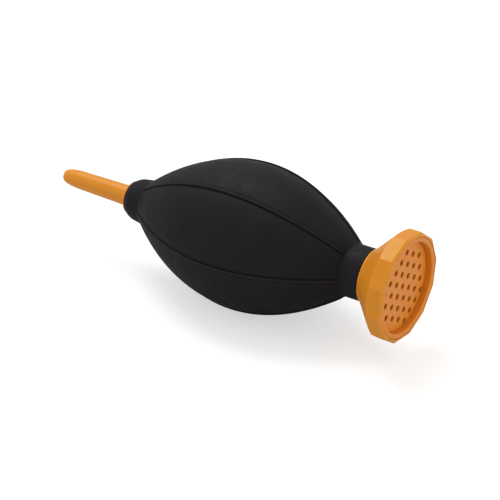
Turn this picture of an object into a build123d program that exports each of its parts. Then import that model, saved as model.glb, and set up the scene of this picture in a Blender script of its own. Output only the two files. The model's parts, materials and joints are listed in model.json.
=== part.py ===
"""Dust blower bulb: a rubber bulb with a push-in nozzle, two check valves and a filtered intake cap.

Units are millimetres. +X runs along the axis from the nozzle to the intake cap and +Z is up.
The origin is on the axis, midway along the overall length.
An outline is a list of (x, radius) points or edges, turned about the X axis.
"""

from build123d import *

import os
from math import cos, radians, sin, sqrt

# ---------------------------------------------------------------- driving dimensions

OVERALL_LENGTH = 176.3
TIP_X = -OVERALL_LENGTH / 2  # nozzle outlet
FACE_X = OVERALL_LENGTH / 2  # flat face of the cap's rim

# Bulb: its outside follows a parabola from neck to neck.
BULB_RADIUS = 31.2
BULB_WALL = 2.6
EQUATOR_X = 11.35
FRONT_JOINT_X = -40.2  # the bulb meets the front collar
REAR_JOINT_X = 61.35  # the bulb meets the rear neck
REAR_JOINT_RADIUS = 11.45

COLLAR_FACE_X = -49.9
COLLAR_FACE_RADIUS = 7.3
COLLAR_SHOULDER_X = -46.0
COLLAR_SHOULDER_RADIUS = 9.35
REAR_NECK_END_X = 70.6
REAR_NECK_RADIUS = 11.15
REAR_NECK_BORE = 8.6

RIB_COUNT = 6
RIB_WIDTH = 1.3
RIB_HEIGHT = 0.7
RIB_ROOT = 0.6  # how far a rib is sunk into the wall
RIB_OFFSET = 30.0  # degrees from +Z to the first rib

CAVITY_START_X = -36.5
CAVITY_END_X = 58.5
CAVITY_END_RADIUS = 9.6

# The two walls that flex when the bulb is squeezed.
WALL_HALF_LENGTH = 33.0
WALL_RIB_MARGIN = 1.6  # from a rib's centre line to the opening
WALL_GAP = 0.15
WALL_CORNER = 4.0

# Fits, all radial.
RUNNING = 0.07
SEATED = 0.02

# Nozzle
NOZZLE_TIP_RADIUS = 4.15
NOZZLE_BASE_RADIUS = 4.6
NOZZLE_NOSE_LENGTH = 11.0
NOZZLE_OUTLET_RADIUS = 1.5
NOZZLE_OUTLET_LENGTH = 30.0
NOZZLE_LIP_RADIUS = 2.1
FLANGE_RADIUS = 7.35
FLANGE_ROOT_RADIUS = 5.4
FLANGE_THICKNESS = 0.5
FLARE_LENGTH = 0.8
SPIGOT_RADIUS = 3.58
SPIGOT_BORE = 2.4
SPIGOT_END_X = -43.2
NOZZLE_RING_X = -46.1

# Small round seals: section radius, and the groove that takes them.
RING_SECTION = 0.34
GROOVE_WIDTH = 0.74
GROOVE_DEPTH = 0.68

# Outlet check valve, in the front neck
BUSH_RADIUS = 5.78
BUSH_START_X = -48.0
BUSH_END_X = -28.5
BUSH_FLANGE_RADIUS = 8.0
SOCKET_END_X = -42.6
OUTLET_CHAMBER_X = -41.8
OUTLET_CHAMBER = 4.4
OUTLET_DISC_X = -33.4
OUTLET_SEAT_X = -31.0

# Intake check valve, in a housing that pushes into the rear neck
HOUSING_START_X = 54.0
HOUSING_END_X = 70.2
INTAKE_CHAMBER = 6.9
INTAKE_DISC_X = 61.0
INTAKE_SEAT_X = 63.4
HOUSING_WEB_X = 65.0
CAP_SOCKET_X = 66.0
CAP_SOCKET = 7.0
CAP_RING_X = 68.0

# Parts that both valves share
STEM_RADIUS = 0.8
STUB_RADIUS = 1.1
DISC_THICKNESS = 1.4
SEAL_THICKNESS = 0.6
CAGE_THICKNESS = 1.2

# Intake cap
LIP_X = 70.7
LIP_RADIUS = 11.7
LIP_LENGTH = 0.6
CONE_SLOPE = 1.06  # radius gained per millimetre along the axis
RIM_SIDES = 12
RIM_CORNER_RADIUS = 23.2
RIM_CORNER_ANGLE = 7.5  # degrees from +Z towards -Y to the first corner
RIM_CHAMFER = 0.75
CAP_BORE = 5.4
SHELF_X = 81.0
FILTER_BORE = 19.6

# Grille
GRILLE_RADIUS = 21.2
GRILLE_FACE_X = FACE_X - 0.1
GRILLE_SKIRT = 20.0
LEDGE_X = 84.3
RECESS_RADIUS = 19.1
PLATE_FRONT_X = 85.3
PLATE_THICKNESS = 1.5
HOLE_RADIUS = 1.3
HOLE_PITCH = 5.0  # along a row
ROW_PITCH = 5.3  # from row to row
ROW_ANGLE = 55.6  # degrees from +Z towards +Y
HOLE_RINGS = 3


# ---------------------------------------------------------------- shared shapes


def turned(outline):
    """A solid of revolution about X from a closed outline of (x, radius) points or of edges."""
    if isinstance(outline[0], tuple):
        edges = [Line(a, b) for a, b in zip(outline, outline[1:] + outline[:1])]
    else:
        edges = outline
    return revolve(make_face(edges), Axis.X)


def tube(x0, x1, outer, inner=0.0):
    """A plain sleeve, or a disc when it has no inner radius."""
    return turned([(x0, inner), (x1, inner), (x1, outer), (x0, outer)])


def rod_x(x0, x1, radius, y=0.0, z=0.0):
    """A round rod parallel to X."""
    return Pos((x0 + x1) / 2, y, z) * Rot(0, 90, 0) * Cylinder(radius, x1 - x0)


def spoke(x0, x1, length, width, angle):
    """A bar from the axis outward, in the plane of a wheel about X; angle is from +Z."""
    bar = Pos((x0 + x1) / 2, 0, length / 2) * Box(x1 - x0, width, length)
    return Rot(angle, 0, 0) * bar


def torus_x(x, ring_radius, section_radius):
    """An O-ring about X."""
    section = Pos(x, ring_radius, 0) * Circle(section_radius)
    return revolve(section, Axis.X)


def coil(x0, x1, radius, wire, turns):
    """A compression spring along X, between x0 and x1."""
    height = x1 - x0 - 2 * wire
    path = Helix(pitch=height / turns, height=height, radius=radius)
    section = Plane(origin=path @ 0, z_dir=path % 0) * Circle(wire)
    return Pos(x0 + wire, 0, 0) * Rot(0, 90, 0) * sweep(section, path=path)


def bulb_radius(x, swell=0.0):
    """The outside radius of the bulb at x, plus a swell."""
    fall = (BULB_RADIUS - REAR_JOINT_RADIUS) / (REAR_JOINT_X - EQUATOR_X) ** 2
    return BULB_RADIUS + swell - fall * (x - EQUATOR_X) ** 2


def parabola(x0, x1, height_at, scale=1.0):
    """The part of a parabola between x0 and x1, as one quadratic curve."""
    y0, y1 = scale * height_at(x0), scale * height_at(x1)
    middle = scale * height_at((x0 + x1) / 2)
    return Bezier((x0, y0), ((x0 + x1) / 2, 2 * middle - (y0 + y1) / 2), (x1, y1))


# ---------------------------------------------------------------- bulb


def cavity_radius(x):
    """The inside radius of the bulb at x."""
    top = BULB_RADIUS - BULB_WALL
    return top - (top - CAVITY_END_RADIUS) * ((x - EQUATOR_X) / (EQUATOR_X - CAVITY_START_X)) ** 2


def bulb_ribs():
    """Raised seams that run from neck to neck."""
    x0, x1 = FRONT_JOINT_X + 0.2, REAR_JOINT_X - 0.5
    crest = parabola(x0, x1, lambda x: bulb_radius(x, RIB_HEIGHT))
    root = parabola(x0, x1, lambda x: bulb_radius(x, -RIB_ROOT))
    ends = [Line(root @ 0, crest @ 0), Line(root @ 1, crest @ 1)]
    sleeve = turned([root, crest] + ends)
    slab = Pos((x0 + x1) / 2, 0, 0) * Box(x1 - x0, RIB_WIDTH, 2.5 * BULB_RADIUS)
    angles = [RIB_OFFSET + i * 360 / RIB_COUNT for i in range(RIB_COUNT // 2)]
    slabs = [Rot(angle, 0, 0) * slab for angle in angles]
    return sleeve & (slabs[0] + slabs[1:])


def bulb_shell():
    """The whole rubber moulding, before the two flexing walls are parted from it."""
    mouth = SPIGOT_RADIUS + 0.6
    bush_bore = BUSH_RADIUS + SEATED
    bush_stop_x = BUSH_START_X - 0.1
    front_radius = bulb_radius(FRONT_JOINT_X)
    cavity_end = cavity_radius(CAVITY_END_X)
    collar_nose = ThreePointArc(
        (COLLAR_FACE_X, COLLAR_FACE_RADIUS), (-48.2, 8.5), (COLLAR_SHOULDER_X, COLLAR_SHOULDER_RADIUS)
    )
    front = Polyline(
        (CAVITY_START_X, CAVITY_END_RADIUS), (CAVITY_START_X, bush_bore), (bush_stop_x, bush_bore),
        (bush_stop_x, mouth), (COLLAR_FACE_X, mouth), (COLLAR_FACE_X, COLLAR_FACE_RADIUS),
    )
    collar = Line((COLLAR_SHOULDER_X, COLLAR_SHOULDER_RADIUS), (FRONT_JOINT_X, front_radius))
    rear = Polyline(
        (REAR_JOINT_X, REAR_JOINT_RADIUS), (REAR_JOINT_X, REAR_NECK_RADIUS),
        (REAR_NECK_END_X, REAR_NECK_RADIUS), (REAR_NECK_END_X, REAR_NECK_BORE),
        (CAVITY_END_X, REAR_NECK_BORE), (CAVITY_END_X, cavity_end),
    )
    outside = parabola(FRONT_JOINT_X, REAR_JOINT_X, bulb_radius)
    inside = parabola(CAVITY_START_X, CAVITY_END_X, cavity_radius)
    return turned([front, collar_nose, collar, outside, rear, inside]) + bulb_ribs()


def wall_prism(shrink):
    """An upright prism over the panel between the two top ribs, used to part a flexing wall."""
    x0, x1 = EQUATOR_X - WALL_HALF_LENGTH + shrink, EQUATOR_X + WALL_HALF_LENGTH - shrink

    def half_width(x):
        return bulb_radius(x) * sin(radians(RIB_OFFSET)) - WALL_RIB_MARGIN - shrink

    right = parabola(x0, x1, half_width)
    left = parabola(x0, x1, half_width, scale=-1.0)
    ends = [Line(left @ 0, right @ 0), Line(left @ 1, right @ 1)]
    outline = make_face([right, left] + ends)
    outline = fillet(outline.vertices(), WALL_CORNER)
    return extrude(outline, BULB_RADIUS + 5)


def bulb_pieces():
    """The bulb with two openings, and the thumb and finger walls that fill them."""
    shell = bulb_shell()
    turn_over = Rot(180, 0, 0)
    opening, fill = wall_prism(0.0), wall_prism(WALL_GAP)
    body = shell - opening - turn_over * opening
    return body, shell & fill, shell & (turn_over * fill)


# ---------------------------------------------------------------- nozzle


def ring_groove(x, radius):
    """The ring of material cut out of a spigot of this radius for a round seal at x."""
    return tube(x - GROOVE_WIDTH / 2, x + GROOVE_WIDTH / 2, radius + 1, radius - GROOVE_DEPTH)


def ring_seal(x, spigot_radius):
    """The round seal that sits in such a groove."""
    return torus_x(x, spigot_radius - GROOVE_DEPTH + RING_SECTION + SEATED, RING_SECTION)


def nozzle():
    """A tapered nozzle with a rounded nose, a flange and a spigot with a seal groove."""
    nose_x = TIP_X + NOZZLE_NOSE_LENGTH
    nose_middle = (TIP_X + 0.27 * NOZZLE_NOSE_LENGTH, 0.84 * NOZZLE_TIP_RADIUS)
    flange_x = COLLAR_FACE_X - FLANGE_THICKNESS
    bore_x = TIP_X + NOZZLE_OUTLET_LENGTH
    nose = Spline(
        (TIP_X, NOZZLE_LIP_RADIUS), nose_middle, (nose_x, NOZZLE_TIP_RADIUS),
        tangents=[(0.35, 1.0), (1.0, 0.017)],
    )
    rest = Polyline(
        (nose_x, NOZZLE_TIP_RADIUS), (flange_x - FLARE_LENGTH, NOZZLE_BASE_RADIUS),
        (flange_x, FLANGE_ROOT_RADIUS), (flange_x, FLANGE_RADIUS),
        (COLLAR_FACE_X, FLANGE_RADIUS), (COLLAR_FACE_X, SPIGOT_RADIUS),
        (SPIGOT_END_X - 0.4, SPIGOT_RADIUS), (SPIGOT_END_X, SPIGOT_RADIUS - 0.4),
        (SPIGOT_END_X, SPIGOT_BORE), (COLLAR_FACE_X, SPIGOT_BORE), (bore_x, NOZZLE_OUTLET_RADIUS),
        (TIP_X, NOZZLE_OUTLET_RADIUS), (TIP_X, NOZZLE_LIP_RADIUS),
    )
    return turned([nose, rest]) - ring_groove(NOZZLE_RING_X, SPIGOT_RADIUS)


# ---------------------------------------------------------------- parts that both valves use


def valve_cage(x, chamber, rim_width, hub_radius, spokes):
    """A wheel about X that guides a valve stem and lets air past between its spokes."""
    x0, x1 = x + SEATED, x + CAGE_THICKNESS
    rim_radius = chamber - SEATED
    wheel = tube(x0, x1, rim_radius, rim_radius - rim_width) + tube(x0, x1, hub_radius)
    for i in range(spokes):
        wheel += spoke(x0, x1, rim_radius - rim_width / 2, 0.9, i * 360 / spokes)
    return wheel - rod_x(x0 - 1, x1 + 1, STEM_RADIUS + RUNNING)


def poppet(disc_x, disc_radius, stem_end_x, head_radius):
    """A valve disc with a guide stem on one side and, on the other, a stub that holds its seal."""
    seal_x = disc_x + DISC_THICKNESS
    head_x = seal_x + SEAL_THICKNESS
    head_thickness = 0.5
    return turned([
        (stem_end_x, 0), (stem_end_x, STEM_RADIUS),
        (disc_x, STEM_RADIUS), (disc_x, disc_radius),
        (seal_x, disc_radius), (seal_x, STUB_RADIUS),
        (head_x, STUB_RADIUS), (head_x, head_radius),
        (head_x + head_thickness, head_radius), (head_x + head_thickness, 0),
    ])


def poppet_seal(disc_x, radius):
    """The rubber washer on a poppet."""
    seal_x = disc_x + DISC_THICKNESS
    return tube(seal_x, seal_x + SEAL_THICKNESS, radius, STUB_RADIUS + SEATED)


def valve_seat(x0, x1, radius, bore, disc_x):
    """A pressed-in ring with a raised lip that meets the seal of the poppet at disc_x."""
    lip_x = disc_x + DISC_THICKNESS + SEAL_THICKNESS + SEATED
    return turned([
        (x0, bore + 0.8), (x0, radius), (x1, radius), (x1, bore),
        (lip_x, bore), (lip_x, bore + 0.4),
    ])


# ---------------------------------------------------------------- outlet valve, in the front neck


def outlet_bush():
    """The rigid sleeve in the front neck: a socket for the nozzle and a chamber for the valve."""
    socket = SPIGOT_RADIUS + RUNNING
    web_bore, tail_radius, flange_thickness = 2.6, 5.4, 1.5
    flange_x = CAVITY_START_X + SEATED
    return turned([
        (BUSH_START_X, socket), (BUSH_START_X, BUSH_RADIUS),
        (flange_x, BUSH_RADIUS), (flange_x, BUSH_FLANGE_RADIUS),
        (flange_x + flange_thickness, BUSH_FLANGE_RADIUS), (flange_x + flange_thickness, tail_radius),
        (BUSH_END_X, tail_radius), (BUSH_END_X, OUTLET_CHAMBER),
        (OUTLET_CHAMBER_X, OUTLET_CHAMBER), (OUTLET_CHAMBER_X, web_bore),
        (SOCKET_END_X, web_bore), (SOCKET_END_X, socket),
    ])


def outlet_valve():
    """The pieces inside the outlet bush."""
    return {
        "outlet_cage": valve_cage(OUTLET_CHAMBER_X, OUTLET_CHAMBER, 0.8, 1.6, 3),
        "outlet_spring": coil(OUTLET_CHAMBER_X + CAGE_THICKNESS, OUTLET_DISC_X, 2.2, 0.2, 5),
        "outlet_poppet": poppet(OUTLET_DISC_X, 3.4, OUTLET_CHAMBER_X + 0.5, 1.5),
        "outlet_poppet_seal": poppet_seal(OUTLET_DISC_X, 3.2),
        "outlet_seat": valve_seat(
            OUTLET_SEAT_X, BUSH_END_X, OUTLET_CHAMBER - SEATED, 2.2, OUTLET_DISC_X
        ),
    }


# ---------------------------------------------------------------- intake valve, in the rear neck


def intake_housing():
    """The rigid sleeve in the rear neck: a chamber for the valve and a socket for the cap's spigot."""
    outer = REAR_NECK_BORE - RUNNING
    web_bore, edge = 5.2, 0.5
    body = turned([
        (HOUSING_START_X, INTAKE_CHAMBER), (HOUSING_START_X, outer - edge),
        (HOUSING_START_X + edge, outer), (HOUSING_END_X, outer),
        (HOUSING_END_X, CAP_SOCKET), (CAP_SOCKET_X, CAP_SOCKET),
        (CAP_SOCKET_X, web_bore), (HOUSING_WEB_X, web_bore),
        (HOUSING_WEB_X, INTAKE_CHAMBER),
    ])
    for x in (60.0, 63.0, 66.0):
        body -= tube(x, x + 1.2, outer + 1, outer - 0.35)
    return body


def intake_valve():
    """The pieces inside the intake housing."""
    cage_x = HOUSING_START_X + 0.2
    return {
        "intake_cage": valve_cage(cage_x, INTAKE_CHAMBER, 1.0, 2.0, 4),
        "intake_spring": coil(cage_x + CAGE_THICKNESS, INTAKE_DISC_X, 3.2, 0.22, 4),
        "intake_poppet": poppet(INTAKE_DISC_X, 5.5, cage_x + 0.5, 1.8),
        "intake_poppet_seal": poppet_seal(INTAKE_DISC_X, 5.3),
        "intake_seat": valve_seat(
            INTAKE_SEAT_X, HOUSING_WEB_X - SEATED, INTAKE_CHAMBER - SEATED, 4.2, INTAKE_DISC_X
        ),
    }


# ---------------------------------------------------------------- intake cap


def rim_prism():
    """The twelve-sided prism that bounds the cap's rim, with its front edges eased."""
    outline = RegularPolygon(RIM_CORNER_RADIUS, RIM_SIDES, rotation=RIM_CORNER_ANGLE)
    plane = Plane(origin=(LIP_X, 0, 0), x_dir=(0, 0, 1), z_dir=(1, 0, 0))
    prism = extrude(plane * outline, FACE_X - LIP_X)
    front = prism.faces().sort_by(Axis.X)[-1]
    return chamfer(front.edges(), RIM_CHAMFER)


def cap_body():
    """The funnel: a spigot for the valve housing, a round cone, a filter shelf and a faceted rim."""
    spigot = CAP_SOCKET - RUNNING
    spigot_x = CAP_SOCKET_X + 0.2
    cone_x = LIP_X + LIP_LENGTH
    outer = RIM_CORNER_RADIUS + 0.5
    blank = turned([
        (LIP_X, 0), (LIP_X, LIP_RADIUS - 0.3), (LIP_X + 0.3, LIP_RADIUS), (cone_x, LIP_RADIUS),
        (cone_x + (outer - LIP_RADIUS) / CONE_SLOPE, outer), (FACE_X, outer), (FACE_X, 0),
    ])
    hollow = turned([
        (LIP_X - 1, 0), (LIP_X - 1, CAP_BORE), (LIP_X + 1.2, CAP_BORE),
        (SHELF_X - 1.0, FILTER_BORE - 1.6), (SHELF_X, FILTER_BORE - 1.6), (SHELF_X, FILTER_BORE),
        (SHELF_X + 1.2, FILTER_BORE), (SHELF_X + 1.2, GRILLE_SKIRT + 0.1),
        (LEDGE_X, GRILLE_SKIRT + 0.1), (LEDGE_X, GRILLE_RADIUS + RUNNING),
        (FACE_X + 1, GRILLE_RADIUS + RUNNING), (FACE_X + 1, 0),
    ])
    stub = tube(spigot_x, LIP_X, spigot, CAP_BORE) - ring_groove(CAP_RING_X, spigot)
    return (blank & rim_prism()) - hollow + stub


def filter_support():
    """An open wheel on the shelf that keeps the filter flat."""
    x0, x1 = SHELF_X + SEATED, SHELF_X + 1.0
    radius = FILTER_BORE - 0.1
    wheel = tube(x0, x1, radius, radius - 1.8) + tube(x0, x1, 11.0, 9.8) + tube(x0, x1, 3.0)
    for i in range(6):
        wheel += spoke(x0, x1, radius - 1.0, 1.2, i * 60)
    return wheel


def filter_disc():
    gap = 0.05
    return tube(SHELF_X + 1.0 + gap, PLATE_FRONT_X - PLATE_THICKNESS - gap, FILTER_BORE - 0.1)


def grille_gasket():
    """A flat ring on the cap's ledge, under the rim of the grille."""
    return tube(LEDGE_X + 0.05, LEDGE_X + 0.65, GRILLE_RADIUS - 0.1, GRILLE_SKIRT + 0.15)


# ---------------------------------------------------------------- grille


def grille_holes(x0, x1):
    """Staggered rows of holes: the middle row is the longest, and each row out has one hole less."""
    along_y, along_z = sin(radians(ROW_ANGLE)), cos(radians(ROW_ANGLE))
    holes = []
    for row in range(-HOLE_RINGS, HOLE_RINGS + 1):
        count = 2 * HOLE_RINGS + 1 - abs(row)
        across = row * ROW_PITCH
        for i in range(count):
            along = (i - (count - 1) / 2) * HOLE_PITCH
            y = along * along_y + across * along_z
            z = along * along_z - across * along_y
            holes.append(rod_x(x0, x1, HOLE_RADIUS, y=y, z=z))
    return holes


def grille():
    """The perforated dish that snaps into the cap's rim."""
    back_x = PLATE_FRONT_X - PLATE_THICKNESS
    flange_x = LEDGE_X + 0.7
    edge = 0.8
    outline = Polyline(
        (GRILLE_FACE_X - edge, RECESS_RADIUS), (PLATE_FRONT_X, RECESS_RADIUS), (PLATE_FRONT_X, 0),
        (back_x, 0), (back_x, GRILLE_SKIRT), (flange_x, GRILLE_SKIRT),
        (flange_x, GRILLE_RADIUS), (GRILLE_FACE_X - 0.2, GRILLE_RADIUS),
        (GRILLE_FACE_X, GRILLE_RADIUS - 0.2), (GRILLE_FACE_X, RECESS_RADIUS + edge),
    )
    middle = edge * (1 - sqrt(0.5))
    rounding = ThreePointArc(
        (GRILLE_FACE_X, RECESS_RADIUS + edge),
        (GRILLE_FACE_X - middle, RECESS_RADIUS + middle),
        (GRILLE_FACE_X - edge, RECESS_RADIUS),
    )
    return turned([outline, rounding]) - grille_holes(back_x - 1, PLATE_FRONT_X + 1)


# ---------------------------------------------------------------- write the parts


def main():
    bulb, thumb_wall, finger_wall = bulb_pieces()
    parts = {
        "bulb": bulb,
        "bulb_thumb_wall": thumb_wall,
        "bulb_finger_wall": finger_wall,
        "nozzle": nozzle(),
        "nozzle_o_ring": ring_seal(NOZZLE_RING_X, SPIGOT_RADIUS),
        "outlet_bush": outlet_bush(),
        **outlet_valve(),
        "intake_housing": intake_housing(),
        **intake_valve(),
        "cap_body": cap_body(),
        "cap_o_ring": ring_seal(CAP_RING_X, CAP_SOCKET - RUNNING),
        "filter_support": filter_support(),
        "filter_disc": filter_disc(),
        "grille_gasket": grille_gasket(),
        "grille": grille(),
    }
    os.makedirs("parts", exist_ok=True)
    for name, shape in parts.items():
        export_step(shape, f"parts/{name}.step")


main()
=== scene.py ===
"""Looks of the dust blower bulb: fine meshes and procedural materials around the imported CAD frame.

Blender works in metres. Lengths below are written in millimetres and multiplied by MM where a mesh is
made. +X runs along the axis from the nozzle to the intake cap and +Z is up, as in the CAD frame.
"""

import json
import math

import bmesh
import bpy
from mathutils import Matrix, Vector
from mathutils.geometry import delaunay_2d_cdt


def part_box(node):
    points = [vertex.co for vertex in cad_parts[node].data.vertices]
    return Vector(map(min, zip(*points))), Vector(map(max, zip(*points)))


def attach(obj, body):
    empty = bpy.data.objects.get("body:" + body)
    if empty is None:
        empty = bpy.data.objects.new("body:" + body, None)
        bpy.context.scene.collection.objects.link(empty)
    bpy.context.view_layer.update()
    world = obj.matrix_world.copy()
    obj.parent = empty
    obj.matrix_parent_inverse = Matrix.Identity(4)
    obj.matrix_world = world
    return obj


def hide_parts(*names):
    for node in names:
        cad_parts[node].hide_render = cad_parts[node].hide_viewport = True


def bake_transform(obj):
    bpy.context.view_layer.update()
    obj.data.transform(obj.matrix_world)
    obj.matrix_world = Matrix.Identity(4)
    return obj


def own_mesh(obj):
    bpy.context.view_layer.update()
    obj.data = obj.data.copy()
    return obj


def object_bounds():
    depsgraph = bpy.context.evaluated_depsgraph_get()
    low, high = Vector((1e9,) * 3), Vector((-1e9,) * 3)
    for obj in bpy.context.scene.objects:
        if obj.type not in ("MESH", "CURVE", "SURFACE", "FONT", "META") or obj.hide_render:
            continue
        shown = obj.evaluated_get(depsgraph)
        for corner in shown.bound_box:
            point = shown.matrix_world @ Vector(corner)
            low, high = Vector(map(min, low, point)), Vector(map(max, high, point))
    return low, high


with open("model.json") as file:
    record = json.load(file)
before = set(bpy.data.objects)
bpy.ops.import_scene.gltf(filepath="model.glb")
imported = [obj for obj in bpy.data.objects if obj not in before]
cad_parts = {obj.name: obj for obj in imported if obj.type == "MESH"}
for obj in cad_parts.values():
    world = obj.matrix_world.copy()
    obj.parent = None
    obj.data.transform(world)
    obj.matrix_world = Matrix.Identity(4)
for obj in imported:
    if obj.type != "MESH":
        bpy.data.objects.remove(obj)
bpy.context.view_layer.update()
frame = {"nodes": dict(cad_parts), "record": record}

MM = 0.001


def box_mm(node):
    """The lowest and highest corner of a CAD node, in millimetres."""
    low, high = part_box(node)
    return low / MM, high / MM


def middle_x(node):
    low, high = box_mm(node)
    return (low.x + high.x) / 2


BULB_LOW, BULB_HIGH = box_mm("bulb")
NOZZLE_LOW, NOZZLE_HIGH = box_mm("nozzle")
CAP_LOW, CAP_HIGH = box_mm("cap_body")
GRILLE_LOW, GRILLE_HIGH = box_mm("grille")
FILTER_LOW, FILTER_HIGH = box_mm("filter_disc")

# ---------------------------------------------------------------- sizes, in millimetres

# Bulb
BULB_RADIUS = box_mm("bulb_thumb_wall")[1].z
RIB_HEIGHT = BULB_HIGH.y - BULB_RADIUS
EQUATOR_X = middle_x("bulb_thumb_wall")
COLLAR_FACE_X = BULB_LOW.x
NECK_END_X = BULB_HIGH.x
COLLAR_FACE_RADIUS = 7.3
COLLAR_NOSE = (COLLAR_FACE_X + 1.8, 8.5)
COLLAR_SHOULDER = (COLLAR_FACE_X + 3.9, 9.35)
FRONT_JOINT_X = COLLAR_FACE_X + 9.7
REAR_JOINT_X = NECK_END_X - 9.25
REAR_JOINT_RADIUS = 11.45
NECK_RADIUS = 11.15
NECK_BORE = 8.6
COLLAR_BORE = 5.8
COLLAR_MOUTH = 4.18
COLLAR_MOUTH_DEPTH = 1.8
BULB_WALL = 2.6
CAVITY_START_X = COLLAR_FACE_X + 13.4
CAVITY_END_X = NECK_END_X - 12.1
CAVITY_END_RADIUS = 9.6
RIB_COUNT = 6
RIB_SPACING = 2 * math.pi / RIB_COUNT
RIB_FOOT = 1.35  # half the width of a rib and the shallow furrows beside it
RIB_FADE = 0.6  # a rib fades out over this length at both necks
PANEL_STEPS = 16
BULB_ROWS = 84
CAVITY_ROWS = 48

# Nozzle
NOZZLE_NOSE = 11.0
NOZZLE_LIP_RADIUS = 2.1
NOSE_STEPS = 14
FLANGE_RADIUS = NOZZLE_HIGH.z
FLANGE_ROOT_RADIUS = 5.4
FLANGE_THICKNESS = 0.5
FLARE_LENGTH = 0.8
NOZZLE_TIP_RADIUS = 4.15
NOZZLE_BASE_RADIUS = 4.6
NOZZLE_BORE = 1.5
NOZZLE_BORE_LENGTH = 30.0
SPIGOT_RADIUS = 3.58
SPIGOT_BORE = 2.4
NOZZLE_RING_X = middle_x("nozzle_o_ring")

# Cap
FACE_X = CAP_HIGH.x
SPIGOT_X = CAP_LOW.x
LIP_X = NECK_END_X + 0.1
LIP_RADIUS = 11.7
LIP_LENGTH = 0.6
CONE_SLOPE = 1.06
RIM_SIDES = 12
RIM_CORNER_RADIUS = 23.2
RIM_CORNER_ANGLE = 7.5
RIM_CHAMFER = 0.75
CORNER_EASE = 0.016  # radians on each side of a corner of the rim
CAP_SPIGOT = 6.93
CAP_RING_X = middle_x("cap_o_ring")
GRILLE_GAP = 0.07
CAP_BORE = 5.4
SHELF_X = FILTER_LOW.x - 1.05
SHELF_BORE = 18.0
FILTER_BORE = 19.6
SKIRT_BORE = 20.1

# Grille
GRILLE_RADIUS = GRILLE_HIGH.z
GRILLE_SKIRT = 20.0
RECESS_RADIUS = 19.1
PLATE_THICKNESS = 1.5
PLATE_X = GRILLE_LOW.x + PLATE_THICKNESS
LEDGE_X = PLATE_X - 1.0
HOLE_RADIUS = 1.3
HOLE_PITCH = 5.0
ROW_PITCH = 5.3
ROW_ANGLE = 55.6  # degrees from +Z towards +Y
HOLE_RINGS = 3
HOLE_STEPS = 28
HOLE_EASE = 0.08
PLATE_INSET = 0.08
RIM_STEPS = 192

# Round grooves for the seals
GROOVE_WIDTH = 0.74
GROOVE_DEPTH = 0.68

# Springs: this share of a turn is closed up at each end
DEAD_TURN = 0.8

# Felt
FELT_EDGE = 0.15
FELT_RINGS = 44


# ---------------------------------------------------------------- mesh helpers


def mesh_object(name, points, faces):
    """An object from points in millimetres and faces by index."""
    mesh = bpy.data.meshes.new(name)
    mesh.from_pydata([tuple(c * MM for c in p) for p in points], [], faces)
    mesh.update()
    obj = bpy.data.objects.new(name, mesh)
    bpy.context.scene.collection.objects.link(obj)
    tidy(mesh)
    shade_smooth(mesh)
    return obj


def shade_smooth(mesh):
    for polygon in mesh.polygons:
        polygon.use_smooth = True


def tidy(mesh):
    """Merges doubled points, drops empty faces and turns every face outward."""
    work = bmesh.new()
    work.from_mesh(mesh)
    bmesh.ops.remove_doubles(work, verts=work.verts, dist=1e-7)
    bmesh.ops.dissolve_degenerate(work, edges=work.edges, dist=1e-8)
    bmesh.ops.recalc_face_normals(work, faces=work.faces)
    work.to_mesh(mesh)
    work.free()


def polar(x, radius, angle):
    """A point at a radius and an angle about X; the angle is in radians from +Z towards -Y."""
    return (x, -radius * math.sin(angle), radius * math.cos(angle))


def crease(obj, degrees=35.0):
    """Keeps edges sharper than this angle crisp and lets large faces set the shading."""
    work = bmesh.new()
    work.from_mesh(obj.data)
    limit = math.radians(degrees)
    for edge in work.edges:
        if len(edge.link_faces) == 2:
            edge.smooth = edge.calc_face_angle(0.0) < limit
    work.to_mesh(obj.data)
    work.free()
    weighted = obj.modifiers.new("even shading", "WEIGHTED_NORMAL")
    weighted.keep_sharp = True


def eased(corners, steps=3):
    """A closed outline with rounded corners. A corner is (x, radius) or (x, radius, rounding)."""
    points = []
    count = len(corners)
    for i, corner in enumerate(corners):
        here = Vector(corner[:2])
        cut = corner[2] if len(corner) > 2 else 0.0
        if cut == 0.0:
            points.append(tuple(here))
            continue
        before = Vector(corners[i - 1][:2]) - here
        after = Vector(corners[(i + 1) % count][:2]) - here
        a = here + before.normalized() * min(cut, before.length * 0.49)
        b = here + after.normalized() * min(cut, after.length * 0.49)
        for k in range(steps + 1):
            t = k / steps
            points.append(tuple(a * (1 - t) ** 2 + here * 2 * t * (1 - t) + b * t ** 2))
    return points


def revolve(name, outline, angles):
    """A closed outline of (x, radius) turned about X, with one column of points at each angle."""
    return lathe(name, [outline] * len(angles), angles)


def lathe(name, columns, angles):
    """A ring-shaped solid whose section may differ from column to column."""
    rows = len(columns[0])
    points = [polar(x, r, a) for column, a in zip(columns, angles) for x, r in column]
    faces = []
    for j in range(len(angles)):
        faces += band(j * rows, (j + 1) % len(angles) * rows, rows)
    return mesh_object(name, points, faces)


def band(first, second, count, closed=True):
    """Faces between two lines of points, each given by its first point's number."""
    faces = []
    for i in range(count if closed else count - 1):
        n = (i + 1) % count
        faces.append((first + i, second + i, second + n, first + n))
    return faces


def end_faces(first, last, count):
    """The two flat faces that close a row of equal sections."""
    return [tuple(range(first, first + count)), tuple(range(last + count - 1, last - 1, -1))]


def even_angles(count):
    return [2 * math.pi * i / count for i in range(count)]


def groove(x, radius, ease=0.12):
    """The corners of a round groove, in order of rising x."""
    a, b, floor = x - GROOVE_WIDTH / 2, x + GROOVE_WIDTH / 2, radius - GROOVE_DEPTH
    return [(a, radius, ease), (a, floor), (b, floor), (b, radius, ease)]


# ---------------------------------------------------------------- bulb


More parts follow.
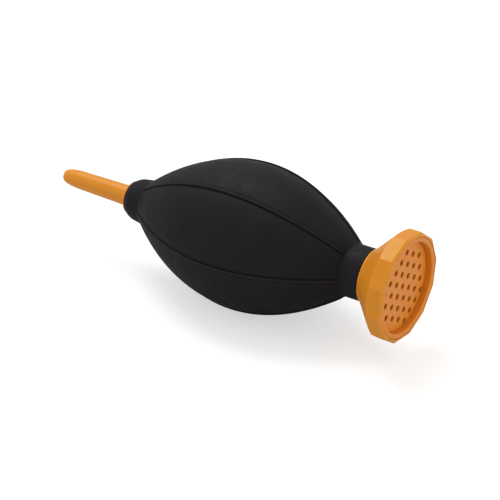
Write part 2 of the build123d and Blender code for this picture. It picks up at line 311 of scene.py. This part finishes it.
def bulb_radius(x):
    fall = (BULB_RADIUS - REAR_JOINT_RADIUS) / (REAR_JOINT_X - EQUATOR_X) ** 2
    return BULB_RADIUS - fall * (x - EQUATOR_X) ** 2


def cavity_radius(x):
    crown = BULB_RADIUS - BULB_WALL
    fall = (crown - CAVITY_END_RADIUS) / (EQUATOR_X - CAVITY_START_X) ** 2
    return crown - fall * (x - EQUATOR_X) ** 2


def arc(start, middle, end, steps):
    """Points on the circle through three points, from start to end."""
    (ax, ay), (bx, by), (cx, cy) = start, middle, end
    d = 2 * (ax * (by - cy) + bx * (cy - ay) + cx * (ay - by))
    a2, b2, c2 = ax * ax + ay * ay, bx * bx + by * by, cx * cx + cy * cy
    ux = (a2 * (by - cy) + b2 * (cy - ay) + c2 * (ay - by)) / d
    uy = (a2 * (cx - bx) + b2 * (ax - cx) + c2 * (bx - ax)) / d
    radius = math.hypot(ax - ux, ay - uy)
    first = math.atan2(ay - uy, ax - ux)
    last = math.atan2(cy - uy, cx - ux)
    angles = [first + (last - first) * i / steps for i in range(steps + 1)]
    return [(ux + radius * math.cos(t), uy + radius * math.sin(t)) for t in angles]


def collar_points():
    """The collar from its eased face, round the nose and along to the bulb."""
    face = COLLAR_FACE_X
    edge = [(face, COLLAR_FACE_RADIUS - 0.4), (face + 0.08, COLLAR_FACE_RADIUS - 0.12)]
    nose = arc((face + 0.35, COLLAR_FACE_RADIUS + 0.25), COLLAR_NOSE, COLLAR_SHOULDER, 10)
    x, r = COLLAR_SHOULDER
    length = FRONT_JOINT_X - x
    rise = bulb_radius(FRONT_JOINT_X) - r
    slope = [(x + t * length, r + t * rise) for t in (0.35, 0.7, 0.93, 1.0)]
    return edge + nose + slope


def panel_rows():
    """The bulb between its joints, as (x, radius, share of the rib's height)."""
    rows = []
    gap = 0.12
    span = REAR_JOINT_X - FRONT_JOINT_X - 2 * gap
    for i in range(BULB_ROWS + 1):
        # rows crowd towards both necks, where the ribs end
        t = (1 - math.cos(math.pi * i / BULB_ROWS)) / 2
        x = FRONT_JOINT_X + gap + span * (0.25 * i / BULB_ROWS + 0.75 * t)
        end = min(x - FRONT_JOINT_X, REAR_JOINT_X - x)
        rows.append((x, bulb_radius(x), min(1.0, end / RIB_FADE) ** 0.5))
    return rows


def neck_points():
    """From the bulb's rear joint along the neck, round its end and back through its bore."""
    return eased([
        (REAR_JOINT_X, REAR_JOINT_RADIUS, 0.1), (REAR_JOINT_X + 0.6, NECK_RADIUS, 0.4),
        (NECK_END_X, NECK_RADIUS, 0.9), (NECK_END_X, NECK_BORE, 0.4),
        (CAVITY_END_X, NECK_BORE, 0.3), (CAVITY_END_X, CAVITY_END_RADIUS, 0.3),
    ])


def cavity_points():
    """The inside from the rear to the front, then the collar's bore and mouth."""
    points = []
    for i in range(1, CAVITY_ROWS):
        x = CAVITY_END_X + (CAVITY_START_X - CAVITY_END_X) * i / CAVITY_ROWS
        points.append((x, cavity_radius(x)))
    mouth_x = COLLAR_FACE_X + COLLAR_MOUTH_DEPTH
    return points + [
        (CAVITY_START_X, CAVITY_END_RADIUS), (CAVITY_START_X, COLLAR_BORE),
        (mouth_x, COLLAR_BORE), (mouth_x, COLLAR_MOUTH),
        (COLLAR_FACE_X, COLLAR_MOUTH), (COLLAR_FACE_X, COLLAR_MOUTH + 0.3),
    ]


def bulb_outline():
    """The bulb's closed section as (x, radius, share of the rib's height)."""
    front = [(x, r, 0.0) for x, r in collar_points()]
    back = [(x, r, 0.0) for x, r in neck_points() + cavity_points()]
    return front + panel_rows() + back


def rib_bumps():
    """Across a rib: (offset from its centre line, share of its height), from foot to foot."""
    crown = [(0.0, 1.0), (0.2, 1.0), (0.38, 0.96), (0.52, 0.84)]
    side = [(0.6, 0.62), (0.65, 0.3), (0.68, 0.0)]
    furrow = [(0.74, -0.16), (0.9, -0.24), (1.1, -0.12), (RIB_FOOT, 0.0)]
    half = crown + side + furrow
    return [(-u, h) for u, h in reversed(half[1:])] + half


def bulb_columns():
    """Columns of points from the crest of a rib, over three panels, to the crest opposite.

    A column is (angle of its rib, offset in mm, share of the rib's height, share across the panel).
    """
    columns = []
    panels = RIB_COUNT // 2
    for n in range(panels + 1):
        rib = -math.pi / 2 + n * RIB_SPACING
        for u, h in rib_bumps():
            beyond = (n == 0 and u < 0) or (n == panels and u > 0)
            if not beyond:
                columns.append((rib, u, h, None))
        if n < panels:
            columns += [(rib, 0.0, 0.0, k / PANEL_STEPS) for k in range(1, PANEL_STEPS)]
    return columns


def column_angle(rib, offset, across, radius):
    """The angle of one point of a column; ribs keep their width while panels narrow."""
    if across is None:
        return rib + math.asin(offset / radius)
    foot = math.asin(RIB_FOOT / radius)
    return rib + foot + across * (RIB_SPACING - 2 * foot)


def bulb_half(name, turn):
    """Half of the bulb, cut along the crests of two ribs. Turn 0 is the top and pi the bottom."""
    outline = bulb_outline()
    columns = bulb_columns()
    points, faces = [], []
    for rib, u, h, across in columns:
        for x, r, share in outline:
            angle = column_angle(rib, u, across, r)
            points.append(polar(x, r + RIB_HEIGHT * h * share, angle + turn))
    rows = len(outline)
    for j in range(len(columns) - 1):
        faces += band(j * rows, (j + 1) * rows, rows)
    faces += end_faces(0, (len(columns) - 1) * rows, rows)
    obj = mesh_object(name, points, faces)
    crease(obj, 50.0)
    return obj


# ---------------------------------------------------------------- nozzle


def nose_points(tip):
    """A blunt ellipse from the outlet's lip to the full radius."""
    points = []
    for i in range(NOSE_STEPS + 1):
        t = (i / NOSE_STEPS) ** 1.6
        share = math.sqrt(1 - (1 - t) ** 2.2)
        radius = NOZZLE_LIP_RADIUS + (NOZZLE_TIP_RADIUS - NOZZLE_LIP_RADIUS) * share
        points.append((tip + NOZZLE_NOSE * t, radius))
    return points


def nozzle():
    tip, spigot_end = NOZZLE_LOW.x, NOZZLE_HIGH.x
    collar = COLLAR_FACE_X
    flange = collar - FLANGE_THICKNESS
    corners = [
        (tip, NOZZLE_BORE + 0.25), *nose_points(tip),
        (flange - FLARE_LENGTH, NOZZLE_BASE_RADIUS, 0.4), (flange, FLANGE_ROOT_RADIUS, 0.4),
        (flange, FLANGE_RADIUS, 0.2), (collar, FLANGE_RADIUS, 0.15),
        (collar, SPIGOT_RADIUS, 0.1), *groove(NOZZLE_RING_X, SPIGOT_RADIUS),
        (spigot_end, SPIGOT_RADIUS, 0.4), (spigot_end, SPIGOT_BORE, 0.15),
        (collar, SPIGOT_BORE), (tip + NOZZLE_BORE_LENGTH, NOZZLE_BORE), (tip + 0.25, NOZZLE_BORE),
    ]
    obj = revolve("nozzle_fine", eased(corners), even_angles(96))
    crease(obj)
    return obj


# ---------------------------------------------------------------- cap


def rim_columns():
    """Angles round the faceted rim, closer together at its rounded corners."""
    angles = []
    sector = 2 * math.pi / RIM_SIDES
    for n in range(RIM_SIDES):
        corner = math.radians(RIM_CORNER_ANGLE) + n * sector
        angles += [corner + a for a in (-0.012, -0.006, 0.0, 0.006, 0.012)]
        angles += [corner + sector * k / 8 for k in range(1, 8)]
    return angles


def rim_radius(angle):
    """The twelve-sided outline's radius, with slightly rounded corners."""
    sector = 2 * math.pi / RIM_SIDES
    from_corner = (angle - math.radians(RIM_CORNER_ANGLE) + sector / 2) % sector - sector / 2
    apothem = RIM_CORNER_RADIUS * math.cos(sector / 2)
    flat = apothem / math.cos(sector / 2 - abs(from_corner))
    ease = max(0.0, 1 - abs(from_corner) / CORNER_EASE)
    return flat - 0.045 * ease ** 2


def cap_column(angle):
    """The cap's closed section at an angle."""
    rim = rim_radius(angle)
    rise = rim - LIP_RADIUS
    cone_x = LIP_X + LIP_LENGTH
    meet_x = cone_x + rise / CONE_SLOPE
    cone = [(cone_x + (meet_x - cone_x) * t, LIP_RADIUS + rise * t) for t in (0.25, 0.5, 0.75)]
    seat = GRILLE_RADIUS + GRILLE_GAP
    filter_x = FILTER_LOW.x + 0.15
    corners = [
        (SPIGOT_X, CAP_BORE, 0.1), (SPIGOT_X, CAP_SPIGOT, 0.3), *groove(CAP_RING_X, CAP_SPIGOT),
        (LIP_X, CAP_SPIGOT, 0.1), (LIP_X, LIP_RADIUS, 0.3), (cone_x, LIP_RADIUS, 0.12),
        *cone, (meet_x, rim, 0.22), (meet_x + 2.0, rim), (FACE_X - 2.0, rim),
        (FACE_X - RIM_CHAMFER, rim, 0.15), (FACE_X, rim - RIM_CHAMFER, 0.15),
        (FACE_X, seat, 0.3), (LEDGE_X, seat), (LEDGE_X, SKIRT_BORE),
        (filter_x, SKIRT_BORE), (filter_x, FILTER_BORE), (SHELF_X, FILTER_BORE),
        (SHELF_X, SHELF_BORE, 0.2), (SHELF_X - 1.0, SHELF_BORE, 0.3), (LIP_X + 1.2, CAP_BORE, 0.4),
    ]
    return eased(corners)


def cap():
    angles = rim_columns()
    obj = lathe("cap_fine", [cap_column(a) for a in angles], angles)
    crease(obj)
    return obj


# ---------------------------------------------------------------- grille


def hole_centres():
    """Staggered rows of holes, as (across, along) pairs; the middle row is the longest."""
    centres = []
    for row in range(-HOLE_RINGS, HOLE_RINGS + 1):
        count = 2 * HOLE_RINGS + 1 - abs(row)
        for i in range(count):
            centres.append((row * ROW_PITCH, (i - (count - 1) / 2) * HOLE_PITCH))
    return centres


def circle(across, along, radius, steps):
    """Points round a place on the plate, as (across, along) pairs."""
    angles = even_angles(steps)
    return [(across + radius * math.cos(a), along + radius * math.sin(a)) for a in angles]


def plate_triangles(outlines):
    """Triangles between an outer outline and the holes that follow it, by point number."""
    points, edges = [], []
    for outline in outlines:
        first, count = len(points), len(outline)
        points += [Vector(p) for p in outline]
        edges += [(first + i, first + (i + 1) % count) for i in range(count)]
    found = delaunay_2d_cdt(points, edges, [], 1, 1e-5)
    places, faces, origin = found[0], found[2], found[3]
    limit = 0.985 * (HOLE_RADIUS + HOLE_EASE)
    triangles = []
    for face in faces:
        middle = sum((places[i] for i in face), Vector((0.0, 0.0))) / 3
        if all((middle - Vector(c)).length > limit for c in hole_centres()):
            triangles.append([origin[i][0] for i in face])
    return triangles


def plate_ring(work, x, outline):
    """New mesh points for an outline on the plate, turned to the angle of the rows."""
    turn = math.radians(ROW_ANGLE)
    ring = []
    for across, along in outline:
        y = along * math.sin(turn) + across * math.cos(turn)
        z = along * math.cos(turn) - across * math.sin(turn)
        ring.append(work.verts.new((x * MM, y * MM, z * MM)))
    return ring


def join_rings(work, rings):
    """Bands of faces between rings that have the same number of points."""
    for a, b in zip(rings, rings[1:]):
        for k in range(len(a)):
            n = (k + 1) % len(a)
            work.faces.new((a[k], a[n], b[n], b[k]))


def grille_section():
    """The dish as (x, radius): up the recess wall, over the rim and round to the back."""
    face, back = GRILLE_HIGH.x, GRILLE_LOW.x
    skirt_x = LEDGE_X + 0.7
    corners = [
        (PLATE_X, RECESS_RADIUS, 0.07), (face, RECESS_RADIUS, 0.8), (face, GRILLE_RADIUS, 0.4),
        (skirt_x, GRILLE_RADIUS, 0.1), (skirt_x, GRILLE_SKIRT), (back, GRILLE_SKIRT, 0.2),
    ]
    return eased(corners, 5)


def plate_sheet(work, x, outlines, triangles):
    """One face of the plate. Gives its rings of points: the rim's and one for each hole."""
    rings = [plate_ring(work, x, outline) for outline in outlines]
    points = [v for ring in rings for v in ring]
    for triangle in triangles:
        work.faces.new([points[i] for i in triangle])
    return rings


def hole_walls(work, centres, front, back):
    """The eased walls of the holes, between their rings on the two faces of the plate."""
    wall = [
        (PLATE_X - 0.03, HOLE_RADIUS + 0.02), (PLATE_X - HOLE_EASE, HOLE_RADIUS),
        (GRILLE_LOW.x + HOLE_EASE, HOLE_RADIUS), (GRILLE_LOW.x + 0.03, HOLE_RADIUS + 0.02),
    ]
    for (u, v), start, end in zip(centres, front, back):
        rings = [plate_ring(work, x, circle(u, v, radius, HOLE_STEPS)) for x, radius in wall]
        join_rings(work, [start, *rings, end])


def grille():
    """A perforated plate set in a dished rim."""
    work = bmesh.new()
    centres = hole_centres()
    outlines = [circle(0, 0, RECESS_RADIUS - PLATE_INSET, RIM_STEPS)]
    outlines += [circle(u, v, HOLE_RADIUS + HOLE_EASE, HOLE_STEPS) for u, v in centres]
    triangles = plate_triangles(outlines)
    front = plate_sheet(work, PLATE_X, outlines, triangles)
    back = plate_sheet(work, GRILLE_LOW.x, outlines, triangles)
    hole_walls(work, centres, front[1:], back[1:])
    section = grille_section()
    dish = [plate_ring(work, x, circle(0, 0, radius, RIM_STEPS)) for x, radius in section]
    join_rings(work, [front[0], *dish, back[0]])
    bmesh.ops.recalc_face_normals(work, faces=work.faces)
    mesh = bpy.data.meshes.new("grille_fine")
    work.to_mesh(mesh)
    work.free()
    shade_smooth(mesh)
    obj = bpy.data.objects.new("grille_fine", mesh)
    bpy.context.scene.collection.objects.link(obj)
    crease(obj)
    return obj


# ---------------------------------------------------------------- springs


def coil_x(turn, turns, start, end, wire):
    """How far along its axis a spring has come after this many turns."""
    rise = DEAD_TURN * 2.1 * wire
    if turn < DEAD_TURN:
        return start + rise * turn / DEAD_TURN
    if turn > turns - DEAD_TURN:
        return end - rise * (turns - turn) / DEAD_TURN
    return start + rise + (end - start - 2 * rise) * (turn - DEAD_TURN) / (turns - 2 * DEAD_TURN)


def spring(name, node, wire, turns):
    """A compression spring that fills a CAD spring's box, with its end turns closed up."""
    low, high = box_mm(node)
    start, end = low.x + wire, high.x - wire
    steps, section = turns * 32, 10
    along = Vector((1, 0, 0))
    points, faces = [], []
    for i in range(steps + 1):
        turn = i / steps * turns
        angle = turn * 2 * math.pi
        centre = Vector(polar(coil_x(turn, turns, start, end, wire), high.z - wire, angle))
        out = Vector(polar(0.0, 1.0, angle))
        for a in even_angles(section):
            points.append(tuple(centre + wire * (math.cos(a) * out + math.sin(a) * along)))
    for i in range(steps):
        faces += band(i * section, (i + 1) * section, section)
    faces += end_faces(0, steps * section, section)
    obj = mesh_object(name, points, faces)
    crease(obj, 60.0)
    return obj


# ---------------------------------------------------------------- filter


def felt_lump(radius, angle):
    """How far the felt's surface stands out at a place, in millimetres."""
    wave = math.sin(radius * 3.1 + 2.0 * math.cos(3 * angle)) * math.sin(angle * 9 + radius * 1.3)
    ripple = math.sin(radius * 7.3 + angle * 23) * math.cos(angle * 31 - radius * 2.2)
    return 0.035 * wave + 0.02 * ripple


def filter_felt():
    """A soft felt disc with rounded edges and an uneven surface."""
    front, back = FILTER_HIGH.x - 0.05, FILTER_LOW.x + 0.05
    middle = middle_x("filter_disc")
    radius = FILTER_HIGH.z - FELT_EDGE
    outline = [(front, radius * (i / FELT_RINGS)) for i in range(FELT_RINGS + 1)]
    for t in (0.5, 1.1, 1.57, 2.0, 2.6):
        outline.append((middle + 0.75 * math.cos(t), radius + FELT_EDGE * math.sin(t)))
    outline += [(back, radius * (1 - i / 8)) for i in range(9)]
    angles = even_angles(120)
    rows = len(outline)
    points, faces = [], []
    for a in angles:
        for x, r in outline:
            lump = felt_lump(r, a)
            points.append(polar(x + (lump if x > middle else -lump), r, a))
    for j in range(len(angles)):
        faces += band(j * rows, (j + 1) % len(angles) * rows, rows, closed=False)
    return mesh_object("filter_felt", points, faces)


# ---------------------------------------------------------------- materials


class Nodes:
    """A short way to write a material's node tree. Positions are in millimetres."""

    def __init__(self, name):
        self.material = bpy.data.materials.new(name)
        self.material.use_nodes = True
        self.tree = self.material.node_tree
        self.shader = self.tree.nodes["Principled BSDF"]
        place = self.tree.nodes.new("ShaderNodeTexCoord")
        scale = self.tree.nodes.new("ShaderNodeVectorMath")
        scale.operation = "SCALE"
        scale.inputs["Scale"].default_value = 1 / MM
        self.tree.links.new(place.outputs["Object"], scale.inputs[0])
        self.place = scale.outputs[0]

    def link(self, source, target):
        self.tree.links.new(source, target)

    def noise(self, per_mm, detail=3.0, roughness=0.5, stretch=None, distortion=0.0):
        """Noise with this many features in a millimetre; stretch scales the axes."""
        place = self.place
        if stretch is not None:
            mapping = self.tree.nodes.new("ShaderNodeMapping")
            mapping.inputs["Scale"].default_value = stretch
            self.link(place, mapping.inputs["Vector"])
            place = mapping.outputs[0]
        node = self.tree.nodes.new("ShaderNodeTexNoise")
        node.inputs["Scale"].default_value = per_mm
        node.inputs["Detail"].default_value = detail
        node.inputs["Roughness"].default_value = roughness
        node.inputs["Distortion"].default_value = distortion
        self.link(place, node.inputs["Vector"])
        return node.outputs["Fac"]

    def ramp(self, value, low, high, start=0.0, end=1.0):
        """Maps a value from start..end to low..high."""
        node = self.tree.nodes.new("ShaderNodeMapRange")
        node.inputs["From Min"].default_value = start
        node.inputs["From Max"].default_value = end
        node.inputs["To Min"].default_value = low
        node.inputs["To Max"].default_value = high
        self.link(value, node.inputs["Value"])
        return node.outputs["Result"]

    def blend(self, share, a, b):
        """A colour between a and b. Either may be a colour or another node's output."""
        node = self.tree.nodes.new("ShaderNodeMix")
        node.data_type = "RGBA"
        self.link(share, node.inputs["Factor"])
        for socket, colour in ((node.inputs["A"], a), (node.inputs["B"], b)):
            if isinstance(colour, tuple):
                socket.default_value = (*colour, 1.0)
            else:
                self.link(colour, socket)
        return node.outputs["Result"]

    def bump(self, height, depth_mm, strength=1.0, after=None):
        node = self.tree.nodes.new("ShaderNodeBump")
        node.inputs["Distance"].default_value = depth_mm * MM
        node.inputs["Strength"].default_value = strength
        self.link(height, node.inputs["Height"])
        if after is not None:
            self.link(after, node.inputs["Normal"])
        return node.outputs["Normal"]

    def rounded(self, radius_mm):
        """A normal that softens sharp edges of CAD shapes for the camera."""
        node = self.tree.nodes.new("ShaderNodeBevel")
        node.samples = 6
        node.inputs["Radius"].default_value = radius_mm * MM
        return node.outputs["Normal"]

    def hollows(self, reach_mm):
        """Low where other surfaces are within reach, as in a hole or a narrow gap; the materials
        paint shade with it.
        """
        node = self.tree.nodes.new("ShaderNodeAmbientOcclusion")
        node.samples = 8
        node.inputs["Distance"].default_value = reach_mm * MM
        return node.outputs["AO"]

    def edges(self, sharpness):
        """High on convex edges, low in hollows; the materials paint highlights with it."""
        node = self.tree.nodes.new("ShaderNodeNewGeometry")
        return self.ramp(node.outputs["Pointiness"], 0.0, 1.0, 0.5, 0.5 + 0.1 / sharpness)

    def set(self, **values):
        """Sets the shader's inputs, each to a plain value or to another node's output."""
        for name, value in values.items():
            socket = self.shader.inputs[name.replace("_", " ")]
            if isinstance(value, (int, float, tuple)):
                socket.default_value = value
            else:
                self.link(value, socket)


def rubber_material(name, dark, light, grain=0.018):
    """Matte moulded rubber: fine grain, faint cloudiness, painted highlights on convex edges, painted
    shade in hollows.
    """
    n = Nodes(name)
    cloud = n.ramp(n.noise(0.06, detail=4.0), 0.0, 1.0, 0.35, 0.65)
    base = n.blend(cloud, dark, light)
    # painted highlight: convex edges and rib crests are lightened to half again the light tone
    painted_edge_highlight = n.blend(n.edges(2.0), base, tuple(1.5 * c for c in light))
    # painted shade: hollows, gaps and the furrows beside the ribs are darkened towards 0.3 of the
    # dark tone
    open_air = n.ramp(n.hollows(2.2), 0.0, 1.0, 0.5, 0.94)
    colour = n.blend(open_air, tuple(0.3 * c for c in dark), painted_edge_highlight)
    rough = n.ramp(n.noise(0.25, detail=5.0), 0.52, 0.66, 0.3, 0.7)
    fine = n.bump(n.noise(5.0, detail=4.0, roughness=0.65), grain, 0.55)
    normal = n.bump(n.noise(0.7, detail=2.0), 0.03, 0.25, after=fine)
    n.set(Base_Color=colour, Roughness=rough, Normal=normal)
    n.set(Specular_IOR_Level=0.13)
    return n.material


def orange_material(name, deep, bright, stipple=0.004):
    """Satin moulded plastic: slight colour drift, painted highlights on convex edges, faint orange
    peel, a fine stipple, painted shade in hollows.
    """
    n = Nodes(name)
    drift = n.ramp(n.noise(0.05, detail=3.0), 0.0, 1.0, 0.35, 0.65)
    base = n.blend(drift, deep, bright)
    # painted highlight: convex edges are lightened past the bright tone
    edge = n.blend(n.edges(1.5), base, tuple(min(1.0, c * 1.12 + 0.01) for c in bright))
    # painted shade: holes, gaps and corners are darkened towards a deep red-brown
    open_air = n.ramp(n.hollows(2.2), 0.0, 1.0, 0.2, 0.56)
    red, green, blue = deep
    colour = n.blend(open_air, (0.42 * red, 0.2 * green, 0.1 * blue), edge)
    roughness = n.ramp(n.noise(0.4, detail=5.0), 0.31, 0.44, 0.3, 0.7)
    peel = n.bump(n.noise(0.9, detail=2.0), 0.02, 0.2)
    normal = n.bump(n.noise(4.0, detail=3.0), stipple, 0.5, after=peel)
    n.set(Base_Color=colour, Roughness=roughness, Normal=normal)
    n.set(Specular_IOR_Level=0.4, Specular_Tint=(0.6, 1.0, 0.6, 1.0))
    n.set(Subsurface_Weight=0.12, Subsurface_Scale=0.002, Subsurface_Radius=(1.0, 0.35, 0.1))
    return n.material


def moulded_material(name, dark, light, rough):
    """Plain technical plastic with faint flow marks."""
    n = Nodes(name)
    flow = n.noise(0.5, detail=4.0, stretch=(0.4, 1.5, 1.5), distortion=0.6)
    base = n.blend(n.ramp(flow, 0.0, 1.0, 0.3, 0.7), dark, light)
    roughness = n.ramp(n.noise(2.0, detail=4.0), rough - 0.06, rough + 0.1, 0.3, 0.7)
    normal = n.bump(n.noise(6.0, detail=3.0), 0.006, 0.5, after=n.rounded(0.15))
    n.set(Base_Color=base, Roughness=roughness, Normal=normal)
    return n.material


def steel_material(name):
    """Drawn stainless wire: fine lines round the coil."""
    n = Nodes(name)
    lines = n.noise(9.0, detail=4.0, stretch=(2.5, 0.6, 0.6))
    base = n.blend(n.ramp(lines, 0.0, 1.0, 0.3, 0.7), (0.47, 0.46, 0.44), (0.68, 0.67, 0.65))
    n.set(Base_Color=base, Metallic=1.0, Roughness=n.ramp(lines, 0.22, 0.4))
    n.set(Normal=n.bump(lines, 0.006, 0.6))
    return n.material


def felt_material(name):
    """Non-woven filter felt: crossing fibres and a soft sheen."""
    n = Nodes(name)
    first = n.noise(2.2, detail=6.0, roughness=0.7, stretch=(1.0, 0.25, 2.4), distortion=1.2)
    second = n.noise(2.0, detail=6.0, roughness=0.7, stretch=(1.0, 2.3, 0.3), distortion=1.0)
    share = n.ramp(first, 0.0, 1.0, 0.35, 0.65)
    base = n.blend(share, (0.036, 0.026, 0.018), (0.080, 0.060, 0.042))
    base = n.blend(n.ramp(second, 0.0, 0.5, 0.4, 0.7), base, (0.12, 0.095, 0.070))
    normal = n.bump(second, 0.12, 0.9, after=n.bump(first, 0.12, 0.9))
    n.set(Base_Color=base, Roughness=0.95, Normal=normal, Sheen_Weight=0.3)
    return n.material


def floor_material():
    """Plain pale paper; the camera sees its shadows lifted, as on a lit sweep."""
    n = Nodes("pale_floor")
    base = n.blend(n.noise(0.02, detail=3.0), (0.66, 0.66, 0.66), (0.69, 0.69, 0.69))
    n.set(Base_Color=base, Roughness=0.9, Normal=n.bump(n.noise(1.5, detail=3.0), 0.01, 0.2))
    n.set(Specular_IOR_Level=0.1, Emission_Color=(1.0, 1.0, 1.0, 1.0))
    path = n.tree.nodes.new("ShaderNodeLightPath")
    n.link(n.ramp(path.outputs["Is Camera Ray"], 0.0, 0.55), n.shader.inputs["Emission Strength"])
    return n.material


def make_materials():
    black, soft_black = (0.0094, 0.0084, 0.0104), (0.0124, 0.0112, 0.0136)
    deep, bright = (0.79, 0.275, 0.014), (0.83, 0.295, 0.017)
    grille_deep, grille_bright = (0.78, 0.245, 0.018), (0.82, 0.265, 0.022)
    seal, seal_light = (0.010, 0.010, 0.011), (0.016, 0.016, 0.017)
    acetal, acetal_light = (0.62, 0.62, 0.59), (0.74, 0.74, 0.71)
    housing, housing_light = (0.022, 0.022, 0.024), (0.035, 0.035, 0.038)
    return {
        "bulb_rubber": rubber_material("bulb_rubber", black, soft_black),
        "seal_rubber": rubber_material("seal_rubber", seal, seal_light, grain=0.006),
        "nozzle_plastic": orange_material("nozzle_plastic", deep, bright),
        "cap_plastic": orange_material("cap_plastic", deep, bright),
        "grille_plastic": orange_material("grille_plastic", grille_deep, grille_bright, stipple=0.03),
        "valve_plastic": moulded_material("valve_plastic", acetal, acetal_light, 0.38),
        "housing_plastic": moulded_material("housing_plastic", housing, housing_light, 0.42),
        "spring_steel": steel_material("spring_steel"),
        "filter_fabric": felt_material("filter_fabric"),
    }


# ---------------------------------------------------------------- put it together


def paint(obj, material):
    """Gives an object one material in every slot."""
    if not obj.data.materials:
        obj.data.materials.append(material)
    for i in range(len(obj.data.materials)):
        obj.data.materials[i] = material


def add_piece(obj, body, slot, materials, *nodes):
    """Paints a piece, lets it ride on a body and has it stand in for its CAD nodes."""
    paint(obj, materials[slot])
    if body is not None:
        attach(obj, body)
    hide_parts(*nodes)


def build(materials):
    top = bulb_half("bulb_top", 0.0)
    bottom = bulb_half("bulb_bottom", math.pi)
    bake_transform(top)
    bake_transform(bottom)
    add_piece(top, None, "bulb_rubber", materials, "bulb", "bulb_thumb_wall")
    add_piece(bottom, None, "bulb_rubber", materials, "bulb", "bulb_finger_wall")
    add_piece(nozzle(), "nozzle", "nozzle_plastic", materials, "nozzle")
    add_piece(cap(), "cap", "cap_plastic", materials, "cap_body")
    add_piece(grille(), "grille", "grille_plastic", materials, "grille")
    add_piece(filter_felt(), "filter", "filter_fabric", materials, "filter_disc")
    add_spring("outlet_spring", "bulb", 0.2, 5, materials)
    add_spring("intake_spring", "intake_unit", 0.22, 4, materials)


def add_spring(node, body, wire, turns, materials):
    """A spring that rides on its seat, with a mesh of its own."""
    obj = spring(node + "_wire", node, wire, turns)
    add_piece(obj, body, "spring_steel", materials, node)
    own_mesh(obj)


def paint_nodes(materials):
    """Every CAD node gets the material of its slot."""
    slots = {p["node"]: p["material_slot"] for p in frame["record"]["subparts"]}
    for name, obj in frame["nodes"].items():
        paint(obj, materials[slots[name]])


# ---------------------------------------------------------------- stage, light and camera

# Metres and degrees, and millimetres for the lens
FLOOR_HALF = 8.0
FLOOR_GAP = 0.0002
WORLD_LIGHT = 0.6
CAMERA_TARGET = Vector((0.0089, 0.0042, -0.0096))
CAMERA_DISTANCE = 0.700
CAMERA_AZIMUTH = 34.31
CAMERA_ELEVATION = 29.31
CAMERA_ROLL = 0.1
CAMERA_LENS = 118.65


def add_floor():
    low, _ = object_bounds()
    z = low.z - FLOOR_GAP
    corners = [(-1, -1), (1, -1), (1, 1), (-1, 1)]
    mesh = bpy.data.meshes.new("floor")
    mesh.from_pydata([(x * FLOOR_HALF, y * FLOOR_HALF, z) for x, y in corners], [], [(0, 1, 2, 3)])
    floor = bpy.data.objects.new("floor", mesh)
    bpy.context.scene.collection.objects.link(floor)
    mesh.materials.append(floor_material())


def add_light(name, position, size, power):
    """A square soft box that points at the object; metres and watts."""
    light = bpy.data.lights.new(name, "AREA")
    light.shape = "SQUARE"
    light.size = size
    light.energy = power
    obj = bpy.data.objects.new(name, light)
    obj.location = position
    obj.rotation_euler = (-Vector(position)).to_track_quat("-Z", "Y").to_euler()
    bpy.context.scene.collection.objects.link(obj)


def add_world():
    """Even white surroundings. The camera sees them at full white, so that no horizon shows."""
    world = bpy.data.worlds.new("studio")
    world.use_nodes = True
    tree = world.node_tree
    background = tree.nodes["Background"]
    background.inputs["Color"].default_value = (1.0, 1.0, 1.0, 1.0)
    path = tree.nodes.new("ShaderNodeLightPath")
    strength = tree.nodes.new("ShaderNodeMapRange")
    strength.inputs["To Min"].default_value = WORLD_LIGHT
    strength.inputs["To Max"].default_value = 1.0
    tree.links.new(path.outputs["Is Camera Ray"], strength.inputs["Value"])
    tree.links.new(strength.outputs["Result"], background.inputs["Strength"])
    bpy.context.scene.world = world


def add_lights():
    """The overhead box is mirrored in the cap's upper near facet; the fills soften the shadows."""
    add_light("overhead", (-0.46, 0.22, 0.98), 0.6, 5.5)
    add_light("end fill", (1.1, 0.1, 0.3), 0.5, 2.0)
    add_light("side fill", (-0.5, -1.1, 0.1), 0.6, 1.2)


def add_camera():
    azimuth, elevation = math.radians(CAMERA_AZIMUTH), math.radians(CAMERA_ELEVATION)
    back = Vector((
        math.sin(azimuth) * math.cos(elevation),
        -math.cos(azimuth) * math.cos(elevation),
        math.sin(elevation),
    ))
    data = bpy.data.cameras.new("camera")
    data.lens = CAMERA_LENS
    data.sensor_width = 36.0
    data.clip_start = 0.01
    data.clip_end = 50.0
    camera = bpy.data.objects.new("camera", data)
    roll = Matrix.Rotation(math.radians(CAMERA_ROLL), 4, "Z")
    turn = (-back).to_track_quat("-Z", "Y").to_matrix().to_4x4()
    camera.matrix_world = Matrix.Translation(CAMERA_TARGET + back * CAMERA_DISTANCE) @ turn @ roll
    bpy.context.scene.collection.objects.link(camera)
    bpy.context.scene.camera = camera


def main():
    bpy.context.scene.view_settings.view_transform = "Standard"
    materials = make_materials()
    paint_nodes(materials)
    build(materials)
    add_floor()
    add_world()
    add_lights()
    add_camera()


main()
